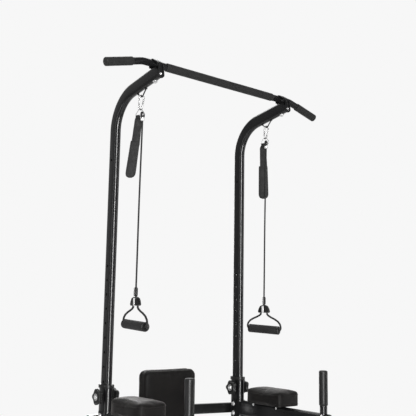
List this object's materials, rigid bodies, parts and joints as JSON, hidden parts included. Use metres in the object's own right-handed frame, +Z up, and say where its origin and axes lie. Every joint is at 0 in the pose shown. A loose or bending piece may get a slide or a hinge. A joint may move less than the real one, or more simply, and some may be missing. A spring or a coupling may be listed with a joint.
{
  "type": "power tower with hanging resistance cords",
  "caption": "Free-standing power tower: sliding uprights curve forward to a pull-up bar; dip arms with handles, arm pads and a back pad; elastic cords with stirrup grips hang from the top.",
  "frame": {"origin": "middle of the bounding box's bottom, on the floor", "axes": "+Z up; +X across, to the right of a user who stands in front and faces the back pad; +Y to the rear, the way the user faces"},
  "size_m": [0.9992, 1.1, 2.2492],
  "materials": {
    "painted_steel": "satin black powder coat",
    "grip_foam": "matt black closed-cell foam",
    "handle_foam": "matt charcoal foam with black end caps",
    "pad_leatherette": "grained black leatherette over foam",
    "board_wood": "plain sealed plywood",
    "foot_rubber": "matt black rubber",
    "moulded_plastic": "black, lightly textured moulding",
    "hook_plastic": "black nylon moulding",
    "cord_cover": "black braided cover over rubber strands",
    "strap_webbing": "black woven webbing and padded sleeve",
    "chrome_hardware": "bright plated steel"
  },
  "bodies": {
    "base_frame": {"floor_crossbar": "painted_steel", "crossbar": "painted_steel", "back_pad": "pad_leatherette", "back_pad_board": "board_wood", "base_rail_left": "painted_steel", "foot_cap_front_left": "foot_rubber", "foot_cap_rear_left": "foot_rubber", "post_left": "painted_steel", "brace_left": "painted_steel", "collar_left": "moulded_plastic", "dip_arm_left": "painted_steel", "dip_handle_left": "painted_steel", "dip_grip_left": "grip_foam", "arm_pad_left": "pad_leatherette", "arm_pad_plate_left": "painted_steel", "base_rail_right": "painted_steel", "foot_cap_front_right": "foot_rubber", "foot_cap_rear_right": "foot_rubber", "post_right": "painted_steel", "brace_right": "painted_steel", "collar_right": "moulded_plastic", "dip_arm_right": "painted_steel", "dip_handle_right": "painted_steel", "dip_grip_right": "grip_foam", "arm_pad_right": "pad_leatherette", "arm_pad_plate_right": "painted_steel"},
    "upper_frame": {"pull_up_bar": "painted_steel", "bar_grip_centre": "grip_foam", "upright_left": "painted_steel", "bar_grip_left": "grip_foam", "bar_clamp_left": "painted_steel", "upright_right": "painted_steel", "bar_grip_right": "grip_foam", "bar_clamp_right": "painted_steel"},
    "lock_knob_outer_left": {"lock_knob_outer_left": "moulded_plastic"},
    "lock_knob_inner_left": {"lock_knob_inner_left": "moulded_plastic"},
    "carabiner_left": {"carabiner_left": "chrome_hardware"},
    "carabiner_gate_left": {"carabiner_gate_left": "chrome_hardware"},
    "ring_left": {"ring_left": "chrome_hardware"},
    "cord_left": {"cord_loop_left": "cord_cover", "elastic_cord_left": "cord_cover", "cord_hook_left": "hook_plastic"},
    "strap_left": {"hand_strap_left": "strap_webbing"},
    "stirrup_left": {"stirrup_yoke_left": "hook_plastic", "stirrup_cord_left": "cord_cover"},
    "grip_left": {"stirrup_grip_left": "handle_foam"},
    "lock_knob_outer_right": {"lock_knob_outer_right": "moulded_plastic"},
    "lock_knob_inner_right": {"lock_knob_inner_right": "moulded_plastic"},
    "carabiner_right": {"carabiner_right": "chrome_hardware"},
    "carabiner_gate_right": {"carabiner_gate_right": "chrome_hardware"},
    "ring_right": {"ring_right": "chrome_hardware"},
    "cord_right": {"cord_loop_right": "cord_cover", "elastic_cord_right": "cord_cover", "cord_hook_right": "hook_plastic"},
    "strap_right": {"hand_strap_right": "strap_webbing"},
    "stirrup_right": {"stirrup_yoke_right": "hook_plastic", "stirrup_cord_right": "cord_cover"},
    "grip_right": {"stirrup_grip_right": "handle_foam"}
  },
  "joints": [
    {"name": "height_slide", "type": "slide", "parent": "base_frame", "child": "upper_frame", "axis": [0, 0, 1], "range_m": [-0.15, 0.15]},
    {"name": "lock_knob_outer_left_turn", "type": "hinge", "parent": "base_frame", "child": "lock_knob_outer_left", "pos_m": [-0.3183, 0.15, 1.1], "axis": [-1, 0, 0], "continuous": true},
    {"name": "lock_knob_inner_left_turn", "type": "hinge", "parent": "base_frame", "child": "lock_knob_inner_left", "pos_m": [-0.2857, 0.15, 1.1], "axis": [1, 0, 0], "continuous": true},
    {"name": "carabiner_left_swing", "type": "hinge", "parent": "upper_frame", "child": "carabiner_left", "pos_m": [-0.3, -0.017, 2.1396], "axis": [1, 0, 0], "range_deg": [-45, 3]},
    {"name": "carabiner_gate_left_open", "type": "hinge", "parent": "carabiner_left", "child": "carabiner_gate_left", "pos_m": [-0.30544, -0.00849, 2.09959], "axis": [0.2551, 0.9522, 0.1679], "range_deg": [0, 12], "stiffness_Nm_per_rad": 0.02},
    {"name": "ring_left_swing", "type": "hinge", "parent": "carabiner_left", "child": "ring_left", "pos_m": [-0.3, -0.0083, 2.09456], "axis": [0.342, -0.9397, 0], "range_deg": [-15, 5]},
    {"name": "cord_left_swing", "type": "hinge", "parent": "ring_left", "child": "cord_left", "pos_m": [-0.29607, -0.01911, 2.06806], "axis": [0.342, -0.9397, 0], "range_deg": [-30, 30]},
    {"name": "strap_left_swing", "type": "hinge", "parent": "ring_left", "child": "strap_left", "pos_m": [-0.30291, -0.00031, 2.06806], "axis": [0.342, -0.9397, 0], "range_deg": [-25, 25]},
    {"name": "stirrup_left_swing", "type": "hinge", "parent": "cord_left", "child": "stirrup_left", "pos_m": [-0.2983, -0.0146, 1.4334], "axis": [0, -1, 0], "range_deg": [-40, 40]},
    {"name": "grip_left_turn", "type": "hinge", "parent": "stirrup_left", "child": "grip_left", "pos_m": [-0.2983, -0.0146, 1.3463], "axis": [0, -0.9978, -0.0663], "continuous": true},
    {"name": "lock_knob_outer_right_turn", "type": "hinge", "parent": "base_frame", "child": "lock_knob_outer_right", "pos_m": [0.3183, 0.15, 1.1], "axis": [1, 0, 0], "continuous": true},
    {"name": "lock_knob_inner_right_turn", "type": "hinge", "parent": "base_frame", "child": "lock_knob_inner_right", "pos_m": [0.2857, 0.15, 1.1], "axis": [-1, 0, 0], "continuous": true},
    {"name": "carabiner_right_swing", "type": "hinge", "parent": "upper_frame", "child": "carabiner_right", "pos_m": [0.3, -0.017, 2.1396], "axis": [1, 0, 0], "range_deg": [-45, 3]},
    {"name": "carabiner_gate_right_open", "type": "hinge", "parent": "carabiner_right", "child": "carabiner_gate_right", "pos_m": [0.30544, -0.0114, 2.09959], "axis": [-0.2551, -0.9522, -0.1679], "range_deg": [0, 12], "stiffness_Nm_per_rad": 0.02},
    {"name": "ring_right_swing", "type": "hinge", "parent": "carabiner_right", "child": "ring_right", "pos_m": [0.3, -0.0083, 2.09456], "axis": [0.342, -0.9397, 0], "range_deg": [-15, 5]},
    {"name": "cord_right_swing", "type": "hinge", "parent": "ring_right", "child": "cord_right", "pos_m": [0.30154, -0.01253, 2.06806], "axis": [0.342, -0.9397, 0], "range_deg": [-30, 30]},
    {"name": "strap_right_swing", "type": "hinge", "parent": "ring_right", "child": "strap_right", "pos_m": [0.29709, -0.00031, 2.06806], "axis": [0.342, -0.9397, 0], "range_deg": [-25, 25]},
    {"name": "stirrup_right_swing", "type": "hinge", "parent": "cord_right", "child": "stirrup_right", "pos_m": [0.2945, -0.0102, 1.4174], "axis": [0.2924, -0.9563, 0], "range_deg": [-40, 40]},
    {"name": "grip_right_turn", "type": "hinge", "parent": "stirrup_right", "child": "grip_right", "pos_m": [0.2945, -0.0102, 1.332], "axis": [0.2919, -0.9549, -0.0541], "continuous": true}
  ]
}
